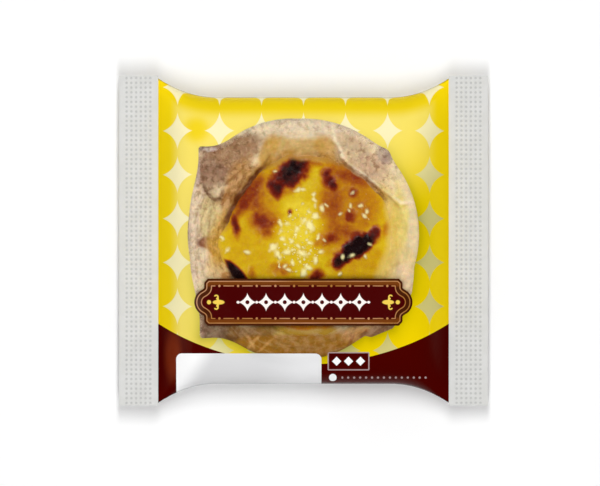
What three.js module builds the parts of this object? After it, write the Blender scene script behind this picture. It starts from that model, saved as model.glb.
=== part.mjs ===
// An egg tart sealed in a pillow pack of printed film, lying on its back with the front up.
// The film is one tube: crimped flat at its two ends, drawn over the tart between them,
// and closed along the back by a fin seal that lies flat.
// Millimetres. +X runs from end seal to end seal, +Y is the top of the front, +Z is up.
// The origin is the centre of the base, on the surface that the pack rests on.

import * as THREE from "three";

// The pack
const PACK_LENGTH = 136.5; // outer edge to outer edge of the end seals
const SEAL_WIDTH = 14.5; // one end seal, along X
const FLAT_WIDTH = 122; // the tube laid flat, which the end seals keep
const SHOULDER_WIDTH = 120; // the body where it leaves an end seal
const WAIST_WIDTH = 106; // the body where the tart fills it
const NARROWING = 21.5; // length over which the body draws in from seal to waist
const TOP_LEVEL = 27; // the front film over the table, where no tart lifts it
const SEAL_LEVEL = 12; // the end seals over the table
const CLIMB = 16; // length over which the film climbs from a seal to full height
const BELLY = 12.6; // depth the film would hang below the seals if no table held it
const CROWN = 0.8; // extra height at the middle of the front, blown up by the gas inside

// Roundness of a cross-section: flat and full over the tart, pinched towards the seals
const FULL_SECTION = 4.5;
const PINCHED_SECTION = 2.6;

// The end seals
const SEAL_THICKNESS = 0.6;
const SEAL_STEP = 0.6; // length over which the full width of a seal drops to the body's
const THIN_END = 0.25; // half of the thickness that the body leaves a seal with
const SEAL_WAVE = 0.6; // the seals lie in a slight wave along Y
const WAVE_FADE = 22; // length over which the wave dies out in the body
const SEAL_DROOP = 1.0; // how far a seal's outer edge hangs
const CRIMP_PITCH = 1.76; // crimped dots, both ways
const CRIMP_COLUMNS = 6;
const CRIMP_EDGE = 1.9; // plain film outside the outer column
const CRIMP_DEPTH = 0.25;

// The fin seal along the back
const FIN_WIDTH = 11;
const FIN_THICKNESS = 0.5;
const FIN_LOW = -9.5; // its free edge: it is folded over towards -Y
const FIN_STEP = 0.3;

// The tart that stands up under the film: a round tart whose square pastry sheet sticks out at the corners
const TART_CENTRE = [0.2, 1.7];
const TART_RADIUS = 42.9;
const SHEET_CORNERS = [
  [-38.9, 35.0],
  [32.4, 33.1],
  [31.3, -32.4],
  [-38.0, -35.9],
];
const TART_LIFT = 1.3; // how far the tart's rim pushes the film up
const LIFT_SHOULDER = 5;
const CUSTARD_CENTRE = [2.0, -2.2];
const CUSTARD_RADIUS = 33;
const CUSTARD_SAG = 1.1; // how far the film hangs between the rim and the custard
const SAG_SLOPE = 9;

// How finely the film is divided
const STATIONS = 34;
const TOP_STEPS = 38;
const UNDER_STEPS = 8; // under the pack, on each side of the fin
const SECTION_SAMPLES = 160;

const BODY_HALF = PACK_LENGTH / 2 - SEAL_WIDTH;

function smoothstep(t) {
  const c = Math.min(Math.max(t, 0), 1);
  return c * c * (3 - 2 * c);
}

// How far a place on the body lies from the nearer end seal
function fromSeal(x) {
  return Math.max(BODY_HALF - Math.abs(x), 0);
}

// Share of its full height that the film has reached at x
function climb(x) {
  const t = Math.min(fromSeal(x) / CLIMB, 1);
  return 1 - (1 - t) ** 2;
}

// Half of the body's width at x, as seen from above
function halfWidth(x) {
  const t = 1 - Math.min(fromSeal(x) / NARROWING, 1);
  return (WAIST_WIDTH + (SHOULDER_WIDTH - WAIST_WIDTH) * t ** 2) / 2;
}

// Height of the middle of the film tube: level in the body, waved and drooping at the end seals
function midLevel(x, y) {
  const side = Math.sign(x);
  const fade = 1 - smoothstep(fromSeal(x) / WAVE_FADE);
  const wave = SEAL_WAVE * fade * Math.sin((2.2 * Math.PI * y) / FLAT_WIDTH + side);
  const out = Math.max(Math.abs(x) - BODY_HALF, 0) / SEAL_WIDTH;
  return SEAL_LEVEL + wave - SEAL_DROOP * out;
}

// Signed distance to the pastry's outline, less than zero inside it
function tartDistance(x, y) {
  const round = Math.hypot(x - TART_CENTRE[0], y - TART_CENTRE[1]) - TART_RADIUS;
  let sheet = -Infinity;
  SHEET_CORNERS.forEach(([x0, y0], i) => {
    const [x1, y1] = SHEET_CORNERS[(i + 1) % SHEET_CORNERS.length];
    const side = Math.hypot(x1 - x0, y1 - y0);
    // The corners run clockwise, so this is positive on the outside of each side
    sheet = Math.max(sheet, ((x1 - x0) * (y - y0) - (y1 - y0) * (x - x0)) / side);
  });
  return Math.min(round, sheet);
}

// What the tart does to the film over it: up over the pastry rim, down a little over the custard
function tartRelief(x, y) {
  const rim = TART_LIFT * smoothstep(0.5 - tartDistance(x, y) / LIFT_SHOULDER);
  const fromCustard = Math.hypot(x - CUSTARD_CENTRE[0], y - CUSTARD_CENTRE[1]) - CUSTARD_RADIUS;
  return rim - CUSTARD_SAG * smoothstep(0.5 - fromCustard / SAG_SLOPE);
}

// The film's section at x from one place across it to another, as [y, height] pairs spaced evenly along it
function section(x, height, fromY, toY, steps) {
  const half = halfWidth(x);
  const fullness = PINCHED_SECTION + (FULL_SECTION - PINCHED_SECTION) * climb(x);
  const angle = (y) => Math.acos(Math.sign(y) * Math.min(Math.abs(y) / half, 1) ** (fullness / 2));
  const line = count(SECTION_SAMPLES + 1).map((i) => {
    const c = Math.cos(angle(fromY) + ((angle(toY) - angle(fromY)) * i) / SECTION_SAMPLES);
    return [half * Math.sign(c) * Math.abs(c) ** (2 / fullness), height * Math.sqrt(Math.max(1 - c * c, 0))];
  });
  const run = [0];
  for (let i = 1; i < line.length; i++)
    run.push(run[i - 1] + Math.hypot(line[i][0] - line[i - 1][0], line[i][1] - line[i - 1][1]));
  let at = 1;
  return count(steps + 1).map((i) => {
    const goal = (run[run.length - 1] * i) / steps;
    while (at < run.length - 1 && run[at] < goal) at++;
    const t = (goal - run[at - 1]) / (run[at] - run[at - 1]);
    return [0, 1].map((k) => line[at - 1][k] + t * (line[at][k] - line[at - 1][k]));
  });
}

// The front of the body at x, from its +Y edge to its -Y edge
function frontRow(x) {
  const half = halfWidth(x);
  const share = climb(x);
  const rise = THIN_END + (TOP_LEVEL - CROWN - SEAL_LEVEL) * share;
  return section(x, rise, half, -half, TOP_STEPS).map(([y, h]) => {
    const swell = (share * h) / rise;
    const crown = CROWN * Math.cos((Math.PI * y) / (2 * half));
    return [x, y, midLevel(x, y) + h + (crown + tartRelief(x, y)) * swell];
  });
}

// The back of the body at x, from its -Y edge to its +Y edge. The fin seal stands proud of the film
// where that hangs free, and both are pressed level where the pack rests
function backRow(x) {
  const half = halfWidth(x);
  const hang = THIN_END + BELLY * climb(x);
  const finHigh = FIN_LOW + FIN_WIDTH;
  const low = section(x, hang, -half, FIN_LOW - FIN_STEP, UNDER_STEPS);
  const high = section(x, hang, finHigh + FIN_STEP, half, UNDER_STEPS);
  const fin = [FIN_LOW, finHigh].map((y) => [y, hang + FIN_THICKNESS * climb(x)]);
  return [...low, ...fin, ...high].map(([y, h]) => [x, y, Math.max(midLevel(x, y) - h, 0)]);
}

function count(n) {
  return Array.from({ length: n }, (_, i) => i);
}

// A closed shell, built up from numbered points and rows of them
class Shell {
  points = [];
  index = [];

  point(place) {
    return this.points.push(place) - 1;
  }

  // A face, left out where two of its corners are one point
  face(a, b, c) {
    if (a !== b && b !== c && c !== a) this.index.push(a, b, c);
  }

  // Faces between two rows that run the same way, each with its own number of points
  zip(rowA, rowB) {
    const [endA, endB] = [rowA.length - 1, rowB.length - 1];
    let i = 0;
    let j = 0;
    while (i < endA || j < endB)
      if (j === endB || (i < endA && (i + 0.5) * endB <= (j + 0.5) * endA)) {
        this.face(rowA[i], rowA[i + 1], rowB[j]);
        i++;
      } else {
        this.face(rowA[i], rowB[j + 1], rowB[j]);
        j++;
      }
  }

  // A band between two rings, each with a front row from +Y to -Y and a back row from -Y to +Y
  band(ringA, ringB) {
    this.zip(ringA.front, ringB.front);
    this.zip(ringA.back, ringB.back);
    this.zip([ringA.front.at(-1), ringA.back[0]], [ringB.front.at(-1), ringB.back[0]]);
    this.zip([ringA.back.at(-1), ringA.front[0]], [ringB.back.at(-1), ringB.front[0]]);
  }

  // Two rows of the same length, with a point pressed in at the middle of every cell between them
  crimp(rowA, rowB, dots) {
    dots.forEach((dot, i) => {
      const corners = [rowA[i], rowA[i + 1], rowB[i + 1], rowB[i]];
      corners.forEach((corner, k) => this.face(corner, corners[(k + 1) % 4], dot));
    });
  }

  geometry() {
    const geometry = new THREE.BufferGeometry();
    geometry.setAttribute("position", new THREE.Float32BufferAttribute(this.points.flat(), 3));
    geometry.setIndex(this.index);
    geometry.computeVertexNormals();
    return geometry;
  }
}

// Both film layers of one end seal, with crimped dots all over the front. Returns the ring that the body joins
function addSeal(shell, side) {
  const rows = Math.round(FLAT_WIDTH / CRIMP_PITCH);
  const crimpStart = PACK_LENGTH / 2 - CRIMP_EDGE;
  const crimpLines = count(CRIMP_COLUMNS + 1).map((i) => crimpStart - i * CRIMP_PITCH);
  const lines = [PACK_LENGTH / 2, ...crimpLines, BODY_HALF + SEAL_STEP].map((d) => side * d);
  if (side > 0) lines.reverse();
  const place = (x, row, lift) => {
    const y = FLAT_WIDTH * (0.5 - row / rows);
    return shell.point([x, y, midLevel(x, y) + lift]);
  };
  const fronts = lines.map((x) => count(rows + 1).map((row) => place(x, row, SEAL_THICKNESS / 2)));
  const [backA, backB] = [lines[0], lines.at(-1)].map((x) =>
    count(2 * UNDER_STEPS + 1).map((i) => place(x, rows * (1 - i / (2 * UNDER_STEPS)), -SEAL_THICKNESS / 2)),
  );
  for (let i = 0; i < lines.length - 1; i++) {
    const crimped = i > 0 && i < lines.length - 2;
    const x = (lines[i] + lines[i + 1]) / 2;
    if (crimped) {
      const dots = count(rows).map((row) => place(x, row + 0.5, SEAL_THICKNESS / 2 - CRIMP_DEPTH));
      shell.crimp(fronts[i], fronts[i + 1], dots);
    } else shell.zip(fronts[i], fronts[i + 1]);
  }
  shell.zip(backA, backB);
  shell.zip([backA[0], backB[0]], fronts.map((row) => row.at(-1)));
  shell.zip(fronts.map((row) => row[0]), [backA.at(-1), backB.at(-1)]);
  if (side < 0) shell.zip([...backA].reverse(), fronts[0]);
  else shell.zip(fronts.at(-1), [...backB].reverse());
  return side < 0 ? { front: fronts.at(-1), back: backB } : { front: fronts[0], back: backA };
}

// A ring round the body at x, whose front and back meet in one point at either side
function addRing(shell, x) {
  const front = frontRow(x).map((place) => shell.point(place));
  const under = backRow(x).slice(1, -1);
  return { front, back: [front.at(-1), ...under.map((place) => shell.point(place)), front[0]] };
}

// The whole pack is one piece of film, shut round its tart, so it is one solid
function makePack() {
  const shell = new Shell();
  const rings = [addSeal(shell, -1)];
  for (const i of count(STATIONS + 1)) {
    const even = (2 * i) / STATIONS - 1;
    // The rings stand closer together near the seals, where the film climbs
    rings.push(addRing(shell, BODY_HALF * (0.62 * Math.sin((Math.PI * even) / 2) + 0.38 * even)));
  }
  rings.push(addSeal(shell, 1));
  for (let i = 1; i < rings.length; i++) shell.band(rings[i - 1], rings[i]);
  const film = new THREE.MeshStandardMaterial({ color: 0xf6d21c, roughness: 0.3, metalness: 0 });
  const pack = new THREE.Mesh(shell.geometry(), film);
  pack.name = "pack";
  return pack;
}

const part = new THREE.Group();
part.name = "egg_tart_pack";
part.add(makePack());

export default part;
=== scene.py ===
# The looks of an egg tart sealed in a pillow pack: printed film with a clear window over the tart.
# Lengths are in millimetres until a mesh is made. The frame is the CAD model's: +X runs to the
# right of the front, +Y to its top, +Z up, and the origin lies under the middle of the pack.

import math

import bmesh
import bpy
import numpy as np
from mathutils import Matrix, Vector


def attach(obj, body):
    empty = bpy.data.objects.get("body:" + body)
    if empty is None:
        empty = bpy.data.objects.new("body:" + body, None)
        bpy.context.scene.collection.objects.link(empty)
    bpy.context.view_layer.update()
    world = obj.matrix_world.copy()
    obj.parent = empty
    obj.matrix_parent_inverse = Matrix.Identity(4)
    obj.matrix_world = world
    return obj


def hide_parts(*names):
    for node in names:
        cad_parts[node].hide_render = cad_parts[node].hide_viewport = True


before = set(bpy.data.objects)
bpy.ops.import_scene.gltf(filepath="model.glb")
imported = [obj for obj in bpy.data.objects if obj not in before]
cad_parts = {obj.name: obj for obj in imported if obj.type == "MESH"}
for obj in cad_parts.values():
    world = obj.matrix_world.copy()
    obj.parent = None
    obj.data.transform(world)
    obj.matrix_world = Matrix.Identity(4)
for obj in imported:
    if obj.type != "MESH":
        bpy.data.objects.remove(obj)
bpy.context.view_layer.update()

MM = 0.001

# The film tube, with the same sizes as the CAD solid
PACK_LENGTH = 136.5
SEAL_WIDTH = 14.5
FLAT_WIDTH = 122
SHOULDER_WIDTH = 120
WAIST_WIDTH = 106
NARROWING = 21.5
TOP_LEVEL = 27
SEAL_LEVEL = 12
CLIMB = 16
BELLY = 12.6
CROWN = 0.8
FULL_SECTION = 4.5
PINCHED_SECTION = 2.6
SEAL_THICKNESS = 0.6
THIN_END = 0.25
SEAL_WAVE = 0.6
WAVE_FADE = 22
SEAL_DROOP = 1.0
BODY_HALF = PACK_LENGTH / 2 - SEAL_WIDTH
PRINT_STRETCH = 0.15  # how much of the film's own length the print takes up near the front's edge
BACK_REST = 0.3  # the back film over the table, where the fin seal lies under it
TURN_START, TURN_LENGTH = 0.955, 0.04  # the share of the half width where the front turns down
LOOP_SAMPLES = 260
LOOP_STEPS = 150

# The crimped dots of the end seals
CRIMP_PITCH = 1.76
CRIMP_COLUMNS = 6
CRIMP_EDGE = 1.9
CRIMP_DEPTH = 0.25
CRIMP_ROWS = round(FLAT_WIDTH / CRIMP_PITCH)

# The fin seal
FIN_LOW = -9.5
FIN_WIDTH = 11
FIN_THICKNESS = 0.25
FIN_STEPS = (180, 22)
FIN_MARGIN = 0.02  # how far it keeps from the table, and its ends' lower side from the film
FIN_PRINT_V = -100  # a place in the print's maroon

# The tart's outline as the window shows it: a slumped round tart and its square pastry sheet
TART_CIRCLES = ((-0.1, 2.4, 42.6), (-3.0, -5.5, 38.8), (-4.2, 7.0, 38.0))
SHEET_CORNERS = ((-38.7, 34.7), (31.0, 33.0), (31.3, -32.8), (-38.2, -36.0))
SHEET_ROUNDING = 1.0
OUTLINE_FILLET = 4
SIDE_CORNERS = (
    (30, 10), (40.9, -7.3), (40.5, -14), (39.9, -19), (36.5, -27.5), (32.8, -32.4), (25, -35.6), (0, -30),
)
TART_LIFT = 1.28
LIFT_SHOULDER = 5
SAG_CENTRE = (2.0, -2.2)
SAG_RADIUS = 33
CUSTARD_SAG = 1.1
SAG_SLOPE = 9

# The tart itself
CUSTARD_CENTRE = (2.0, -1.5)
CUSTARD_RADII = (
    30.2, 31.4, 32.4, 31.2, 31.4, 32.0, 32.8, 33.2, 32.6, 30.9, 30.8, 31.4,
    35.2, 31.8, 29.4, 29.8, 30.8, 31.9, 32.0, 31.6, 30.6, 30.1, 29.4, 28.6,
)  # every 15 degrees from +X
CUSTARD_UNEVEN = 0.55  # how far the custard's edge wanders
CUSTARD_LEVEL = 24.2
CUSTARD_TUCK = 1.6  # how far the custard reaches under the pastry's edge
CUSTARD_DIP = 0.4  # and how far down it goes there
WALL_DEPTH = 3.2  # the pastry at the custard's edge, below the film
WALL_WIDTH = 6.0
FLAP_THICKNESS = 0.8
DIP_DEPTH, PIT_DEPTH = 0.3, 0.22  # the pastry's broad and small unevenness
RIDGE_PITCH, RIDGE_DEPTH = 1.5, 0.16  # the layers of dough that show at the left
RIDGE_LEFT, RIDGE_LOW = (-29, 5), (20, 6)  # they end right of this x and above this y; with soft widths
STEEP_FLAPS = 2  # how many of the folded corners stand steeply over the custard
STEEPNESS = 0.66
GRAIN_LENGTH = 8  # of the full turn of the pastry's streaks; smaller makes them longer
RIM_UNDER = 0.9  # how far the pastry reaches past the window, under the print
OUTLINE_SEARCH, OUTLINE_HALVINGS = (25, 70), 30  # the radii between which that edge is looked for
FILM_GAP = 0.12  # air between the pastry's high places and the film
BASE_RADIUS = 31
BASE_LEVEL = 1.2
BASE_FOLLOW, MEAN_RADIUS = 0.15, 44  # how much the base follows the outline, and its mean radius
FLOOR_LEVEL = 5.0  # the inside of the pastry's floor
FLOOR_SHARES = (0.02, 0.5, 0.85)  # its rings, as shares of the custard's radius
WALL_RINGS = ((3.0, 14.0), (1.6, 20.7))  # distance inside the custard's edge, and height

# How finely things are divided
FILM_STEP = 0.75
SEAL_STEP = 0.3
CUSTARD_STEP = 0.32
PLAQUE_STEP = 0.25
CRUST_SPOKES = 480
RIM_RINGS = 38
SIDE_RINGS = 12
SLIVER = 0.02
TINY = 1e-9


STUDIO_GAIN = 1.02  # how much brighter than its own colour a level surface looks in the studio's light
WINDOW_GAIN = 1.1  # the same for what lies under the clear film, in the shade of the print around it


def seen(red, green, blue, gain=STUDIO_GAIN):
    """The surface colour, as linear light, that looks like this screen colour in the studio's light."""
    shares = [c / 255 for c in (red, green, blue)]
    linear = [c / 12.92 if c <= 0.04045 else ((c + 0.055) / 1.055) ** 2.4 for c in shares]
    return tuple(min(c / gain, 1) for c in linear)


def seen_inside(red, green, blue):
    return seen(red, green, blue, WINDOW_GAIN)


# Shape of the film


def smoothstep(t):
    t = np.clip(t, 0, 1)
    return t * t * (3 - 2 * t)


def from_seal(x):
    return np.maximum(BODY_HALF - np.abs(x), 0)


def climb(x):
    """Share of its full height that the film has reached at x."""
    return 1 - (1 - np.minimum(from_seal(x) / CLIMB, 1)) ** 2


def half_width(x):
    t = 1 - np.minimum(from_seal(x) / NARROWING, 1)
    return (WAIST_WIDTH + (SHOULDER_WIDTH - WAIST_WIDTH) * t**2) / 2


def mid_level(x, y):
    fade = 1 - smoothstep(from_seal(x) / WAVE_FADE)
    wave = SEAL_WAVE * fade * np.sin(2.2 * np.pi * y / FLAT_WIDTH + np.sign(x))
    out = np.maximum(np.abs(x) - BODY_HALF, 0) / SEAL_WIDTH
    return SEAL_LEVEL + wave - SEAL_DROOP * out


def polygon_distance(x, y, corners):
    """Signed distance to a closed polygon, less than zero inside."""
    x, y = np.broadcast_arrays(x, y)
    corners = np.array(corners, float)
    nearest = np.full(x.shape, 1e9)
    inside = np.zeros(x.shape, bool)
    for (x0, y0), (x1, y1) in zip(corners, np.roll(corners, -1, axis=0)):
        dx, dy = x1 - x0, y1 - y0
        squared = max(dx * dx + dy * dy, TINY)
        t = np.clip(((x - x0) * dx + (y - y0) * dy) / squared, 0, 1)
        nearest = np.minimum(nearest, np.hypot(x - x0 - t * dx, y - y0 - t * dy))
        crosses = (y0 > y) != (y1 > y)
        with np.errstate(divide="ignore", invalid="ignore"):
            inside ^= crosses & (x < x0 + (y - y0) * dx / dy)
    return np.where(inside, -nearest, nearest)


def rounded_box_distance(x, y, centre, half, radius):
    """Signed distance to a rectangle with round corners, less than zero inside."""
    qx = np.abs(x - centre[0]) - half[0] + radius
    qy = np.abs(y - centre[1]) - half[1] + radius
    return np.hypot(np.maximum(qx, 0), np.maximum(qy, 0)) + np.minimum(np.maximum(qx, qy), 0) - radius


def blend_union(a, b, fillet):
    """The union of two signed distances, with a fillet where their outlines meet."""
    share = np.maximum(fillet - np.abs(a - b), 0) / fillet
    return np.minimum(a, b) - share**2 * fillet / 4


def tart_distance(x, y):
    """Signed distance to the tart's outline, less than zero inside."""
    inset = np.array(SHEET_CORNERS) - SHEET_ROUNDING * np.sign(SHEET_CORNERS)
    distance = polygon_distance(x, y, inset) - SHEET_ROUNDING
    circles = [np.hypot(x - cx, y - cy) - radius for cx, cy, radius in TART_CIRCLES]
    distance = blend_union(distance, np.minimum.reduce(circles), OUTLINE_FILLET)
    return np.minimum(distance, polygon_distance(x, y, SIDE_CORNERS))


def tart_relief(x, y):
    rim = TART_LIFT * smoothstep(0.5 - tart_distance(x, y) / LIFT_SHOULDER)
    from_sag = np.hypot(x - SAG_CENTRE[0], y - SAG_CENTRE[1]) - SAG_RADIUS
    return rim - CUSTARD_SAG * smoothstep(0.5 - from_sag / SAG_SLOPE)


def fullness(x):
    return PINCHED_SECTION + (FULL_SECTION - PINCHED_SECTION) * climb(x)


def film_front(x, y):
    """Height of the front film over the table."""
    share = climb(x)
    across = np.clip(np.abs(y) / half_width(x), 0, 1)
    lift = np.sqrt(1 - across ** fullness(x))
    rise = THIN_END + (TOP_LEVEL - CROWN - SEAL_LEVEL) * share
    crown = CROWN * np.cos(np.pi * across / 2)
    return mid_level(x, y) + rise * lift + (crown + tart_relief(x, y)) * share * lift


def film_back(x, y):
    """Height of the back film over the table."""
    across = np.clip(np.abs(y) / half_width(x), 0, 1)
    lift = np.sqrt(1 - across ** fullness(x))
    hang = THIN_END + BELLY * climb(x)
    return np.maximum(mid_level(x, y) - hang * lift, BACK_REST)


def half_loop(x, side):
    """The film at x from the front's middle round one side to the back's middle: y, z and the print's v.
    The print lies level over the front, and goes on by the film's own length where that turns down."""
    share = np.sin(np.linspace(0, np.pi / 2, LOOP_SAMPLES))
    y = side * half_width(x) * np.concatenate([share, share[-2::-1]])
    z = np.concatenate([film_front(x, y[:LOOP_SAMPLES]), film_back(x, y[LOOP_SAMPLES:])])
    turning = smoothstep((share - TURN_START) / TURN_LENGTH)
    steepness = np.concatenate([turning, np.ones(LOOP_SAMPLES - 1)])
    dy, dz = np.diff(y), np.diff(z)
    follow = PRINT_STRETCH + (1 - PRINT_STRETCH) * steepness[1:]
    v = side * np.concatenate([[0], np.cumsum(np.maximum(np.abs(dy), follow * np.hypot(dy, dz)))])
    return y, z, v


# Uneven surfaces


def lattice_noise(x, y, size, seed):
    """Smooth noise from -1 to 1, with lumps of about the given size."""
    table = np.random.default_rng(seed).uniform(-1, 1, (64, 64))
    u, v = np.asarray(x) / size + 1000.5, np.asarray(y) / size + 1000.5
    i, j = np.floor(u).astype(int), np.floor(v).astype(int)
    s, t = smoothstep(u - i), smoothstep(v - j)

    def corner(a, b):
        return table[(i + a) % 64, (j + b) % 64]

    low = corner(0, 0) * (1 - s) + corner(1, 0) * s
    high = corner(0, 1) * (1 - s) + corner(1, 1) * s
    return low * (1 - t) + high * t


def rough(x, y, size, seed, octaves=3):
    """Noise of several sizes, each half as large and half as strong as the last."""
    return sum(lattice_noise(x, y, size / 2**k, seed + k) / 2**k for k in range(octaves))


# Meshes


def grid_faces(rows, columns, closed=False):
    """Faces of a grid of points, numbered row by row."""
    last = columns if closed else columns - 1
    i, j = np.meshgrid(np.arange(rows - 1), np.arange(last), indexing="ij")
    a = i * columns + j
    b = i * columns + (j + 1) % columns
    return np.stack([a, b, b + columns, a + columns], -1).reshape(-1, 4)


def triples(*parts):
    """Points, or other sets of three values, from three arrays or numbers."""
    return np.stack(np.broadcast_arrays(*parts), -1)


def make_mesh(name, points, faces, attributes):
    """A mesh in metres from points in millimetres, with named values at each point, single or in threes."""
    mesh = bpy.data.meshes.new(name)
    places = np.reshape(points, (-1, 3))
    mesh.from_pydata((places * MM).tolist(), [], faces.tolist())
    for label, values in attributes.items():
        scalar = np.size(values) == len(places)
        layer = mesh.attributes.new(label, "FLOAT" if scalar else "FLOAT_VECTOR", "POINT")
        layer.data.foreach_set("value" if scalar else "vector", np.ravel(values).astype(np.float32))
    mesh.shade_smooth()
    return mesh


def cut_mesh(mesh, label, side):
    """The part of a mesh where the named value is above zero, or below it where side is -1."""
    bm = bmesh.new()
    bm.from_mesh(mesh)
    layer = bm.verts.layers.float[label]
    for vert in bm.verts:
        if abs(vert[layer]) < SLIVER:
            vert[layer] = math.copysign(SLIVER, vert[layer])
    on_line = set()
    for edge in list(bm.edges):
        a, b = edge.verts
        if a[layer] * b[layer] < 0:
            share = a[layer] / (a[layer] - b[layer])
            new = bmesh.utils.edge_split(edge, a, share)[1]
            new[layer] = 0
            on_line.add(new)
    for face in list(bm.faces):
        crossing = [vert for vert in face.verts if vert in on_line]
        if len(crossing) == 2:
            bmesh.utils.face_split(face, *crossing)
    outside = [face for face in bm.faces if side * sum(vert[layer] for vert in face.verts) < 0]
    bmesh.ops.delete(bm, geom=outside, context="FACES")
    cut = bpy.data.meshes.new(mesh.name)
    bm.to_mesh(cut)
    bm.free()
    return cut


def add_piece(name, mesh, material):
    """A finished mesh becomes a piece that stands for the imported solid."""
    mesh.materials.append(material)
    piece = bpy.data.objects.new(name, mesh)
    bpy.context.scene.collection.objects.link(piece)
    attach(piece, "root")
    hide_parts("pack")
    return piece


# Materials


def math_node(operation, swapped=False):
    """A method that makes a Math node of one or two values."""

    def method(self, other=0.0):
        pair = (other, self) if swapped else (self, other)
        return self.shader.math(operation, *pair)

    return method


class Value:
    """An output in a material's nodes, which plain arithmetic turns into further nodes."""

    def __init__(self, shader, socket):
        self.shader = shader
        self.socket = socket

    __add__ = math_node("ADD")
    __radd__ = math_node("ADD")
    __sub__ = math_node("SUBTRACT")
    __rsub__ = math_node("SUBTRACT", swapped=True)
    __mul__ = math_node("MULTIPLY")
    __truediv__ = math_node("DIVIDE")
    __pow__ = math_node("POWER")
    __abs__ = math_node("ABSOLUTE")
    larger = math_node("MAXIMUM")
    smaller = math_node("MINIMUM")


class Shader:
    """Builds one material's nodes from plain calls."""

    def __init__(self, name):
        self.material = bpy.data.materials.new(name)
        self.material.use_nodes = True
        self.tree = self.material.node_tree
        self.tree.nodes.clear()

    def node(self, kind, inputs, **settings):
        made = self.tree.nodes.new("ShaderNode" + kind)
        for key, value in settings.items():
            setattr(made, key, value)
        for key, value in inputs.items():
            self.feed(made.inputs[key], value)
        return made

    def feed(self, socket, value):
        if isinstance(value, Value):
            self.tree.links.new(value.socket, socket)
        elif isinstance(value, tuple) and len(value) == 3 and socket.type == "RGBA":
            socket.default_value = (*value, 1)
        else:
            socket.default_value = value

    def values(self, kind, inputs, outputs, **settings):
        """Some outputs of one new node."""
        made = self.node(kind, inputs, **settings)
        return [Value(self, made.outputs[output]) for output in outputs]

    def value(self, kind, inputs, output=0, **settings):
        return self.values(kind, inputs, [output], **settings)[0]

    def math(self, operation, a, b=0.0):
        return self.value("Math", {0: a, 1: b}, operation=operation)

    def length(self, x, y):
        return self.math("SQRT", x * x + y * y)

    def cell(self, value):
        """The place in a repeated cell of length 1, from -0.5 to 0.5."""
        return self.math("FRACT", value) - 0.5

    def ramp(self, value, low, high):
        """0 below low and 1 above high, smooth between; low may be the larger, which turns it round."""
        inputs = {"Value": value, "From Min": low, "From Max": high}
        return self.value("MapRange", inputs, "Result", interpolation_type="SMOOTHSTEP")

    def line(self, distance, half, edge):
        """1 within the half width of the places where the distance is 0."""
        return self.ramp(abs(distance), half + edge, half - edge)

    def mix(self, factor, a, b, blend="MIX"):
        inputs = {"Factor": factor, 6: a, 7: b}
        return self.value("Mix", inputs, 2, data_type="RGBA", blend_type=blend)

    def tint(self, factor, colour, shade):
        """The colour, multiplied by the shade as far as the factor says."""
        return self.mix(factor, colour, shade, "MULTIPLY")

    def attribute(self, label, output="Vector"):
        return self.value("Attribute", {}, output, attribute_name=label)

    def parts(self, vector):
        return self.values("SeparateXYZ", {0: vector}, range(3))

    def noise(self, vector, scale, detail, roughness=0.55, output="Fac"):
        inputs = {"Vector": vector, "Scale": scale, "Detail": detail, "Roughness": roughness}
        return self.value("TexNoise", inputs, output)

    def vector(self, operation, a, b):
        return self.value("VectorMath", {0: a, 1: b}, operation=operation)

    def bump(self, height, distance, strength):
        return self.value("Bump", {"Height": height, "Distance": distance * MM, "Strength": strength})

    def rounded_box(self, x, y, centre, half, radius):
        """Signed distance to a rectangle with round corners."""
        qx = abs(x - centre[0]) - (half[0] - radius)
        qy = abs(y - centre[1]) - (half[1] - radius)
        outer = self.length(qx.larger(0.0), qy.larger(0.0))
        return outer + qx.larger(qy).smaller(0.0) - radius

    def blob(self, x, y, centre, reach, edge=0.06):
        """1 inside an ellipse and 0 outside."""
        from_centre = self.length((x - centre[0]) / reach[0], (y - centre[1]) / reach[1])
        return self.ramp(from_centre, 1 + edge, 1 - edge)

    def lozenge(self, x, y, centre, reach, edge=0.06):
        """1 inside a lozenge and 0 outside."""
        from_centre = abs(x - centre[0]) / reach[0] + abs(y - centre[1]) / reach[1]
        return self.ramp(from_centre, 1 + edge, 1 - edge)

    def surface(self, **inputs):
        """The plain shader at the end, whose sockets are named with underscores for spaces."""
        named = {key.replace("_", " "): value for key, value in inputs.items()}
        return self.finish(self.value("BsdfPrincipled", named))

    def finish(self, shader):
        self.node("OutputMaterial", {"Surface": shader})
        return self.material


# The print
DISC_YELLOW = seen(244, 212, 2)
# Painted light on the print: the discs paler in the glow, and the stars pale on the glow's side and duller
# on the far side
DISC_LIT = seen(250, 227, 104)
DISC_STEEP = seen(255, 221, 14)  # painted brighter on the steep film beside the seals, to make up for the less light it takes
STEEP_WIDTH = 9
STAR_CREAM = seen(216, 204, 128)
STAR_LIT = seen(254, 243, 190)
MAROON = seen(72, 2, 0)
MAROON_LIT = seen(112, 34, 6)
MAROON_LIGHT_CENTRE, MAROON_LIGHT_HALF, MAROON_LIGHT_EDGE = (-48.2, -42.5), (2.8, 8.5), 0.55
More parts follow.
